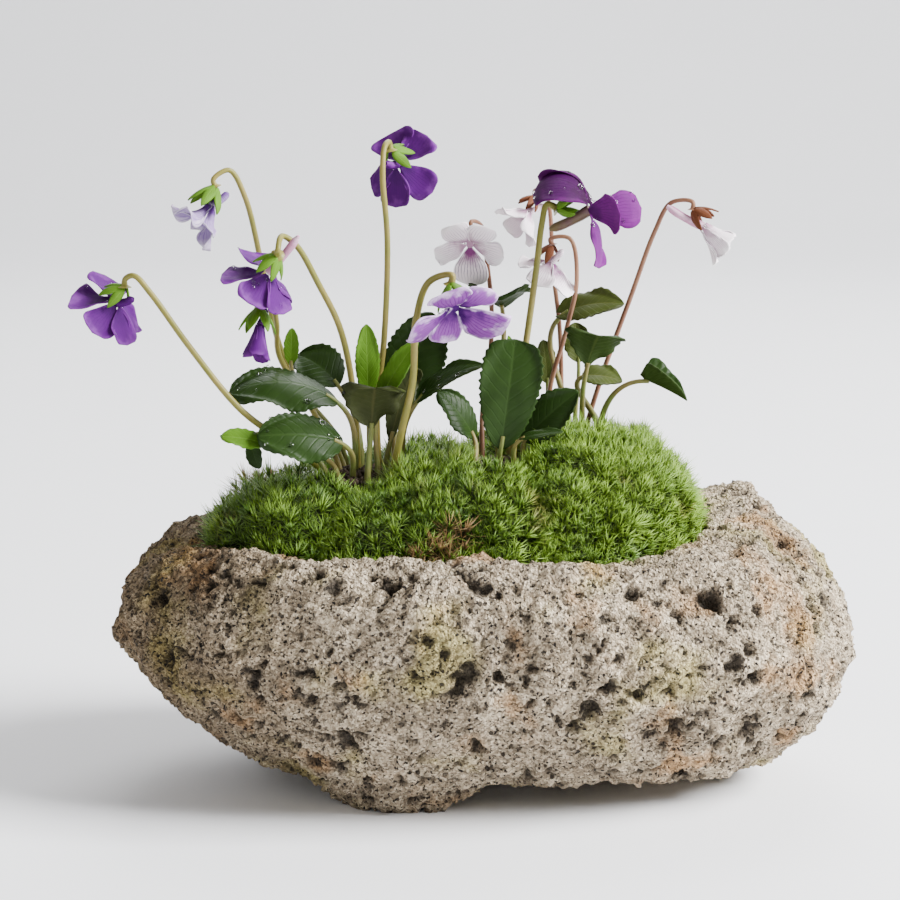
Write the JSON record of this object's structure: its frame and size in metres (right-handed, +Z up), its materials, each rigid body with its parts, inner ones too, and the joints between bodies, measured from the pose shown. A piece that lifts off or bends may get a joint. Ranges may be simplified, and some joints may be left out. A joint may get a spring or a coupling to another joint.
{
  "type": "potted viola planter",
  "caption": "Two kinds of violet and cushions of living moss planted in a bowl hollowed out of rough volcanic stone.",
  "frame": {"origin": "middle of the base, on the ground under the middle of the whole planter", "axes": "+X to the right along the length of the bowl, +Y to the back, +Z up"},
  "size_m": [0.1812, 0.1062, 0.1508],
  "materials": {
    "stone": "rough",
    "net": "matte",
    "soil": "rough",
    "moss": "rough",
    "leaf_dark": "glossy",
    "leaf_bright": "glossy",
    "leaf_olive": "satin",
    "stalk_green": "satin",
    "stalk_red": "satin",
    "petal_violet": "satin",
    "petal_lilac": "satin",
    "petal_withered": "satin",
    "petal_pink": "satin"
  },
  "bodies": {
    "root": {"stone_pot": "stone", "drain_mesh": "net", "soil": "soil", "moss_left": "moss", "moss_front": "moss", "moss_right": "moss", "moss_back_left": "moss", "moss_back_right": "moss", "left_leaf_1": "leaf_dark", "left_leaf_2": "leaf_dark", "left_leaf_3": "leaf_dark", "left_leaf_4": "leaf_bright", "left_leaf_5": "leaf_dark", "left_leaf_6": "leaf_bright", "left_leaf_7": "leaf_bright", "left_leaf_8": "leaf_olive", "left_leaf_9": "leaf_dark", "left_leaf_10": "leaf_dark", "left_leaf_11": "leaf_olive", "left_leaf_12": "leaf_bright", "middle_leaf_1": "leaf_dark", "middle_leaf_2": "leaf_dark", "middle_leaf_3": "leaf_dark", "middle_leaf_4": "leaf_dark", "middle_leaf_5": "leaf_dark", "middle_leaf_6": "leaf_bright", "right_leaf_1": "leaf_olive", "right_leaf_2": "leaf_dark", "right_leaf_3": "leaf_olive", "right_leaf_4": "leaf_dark", "right_leaf_5": "leaf_olive", "right_leaf_6": "leaf_olive", "violet_1_petals": "petal_violet", "violet_1_stalk": "stalk_green", "violet_2_petals": "petal_withered", "violet_2_stalk": "stalk_green", "violet_3_petals": "petal_violet", "violet_3_stalk": "stalk_green", "violet_4_petals": "petal_violet", "violet_4_stalk": "stalk_green", "violet_5_petals": "petal_violet", "violet_5_stalk": "stalk_green", "violet_6_petals": "petal_lilac", "violet_6_stalk": "stalk_green", "violet_7_petals": "petal_violet", "violet_7_stalk": "stalk_green", "pale_violet_1_petals": "petal_pink", "pale_violet_1_stalk": "stalk_red", "pale_violet_2_petals": "petal_pink", "pale_violet_2_stalk": "stalk_red", "pale_violet_3_petals": "petal_pink", "pale_violet_3_stalk": "stalk_red", "pale_violet_4_petals": "petal_pink", "pale_violet_4_stalk": "stalk_red"}
  },
  "joints": []
}
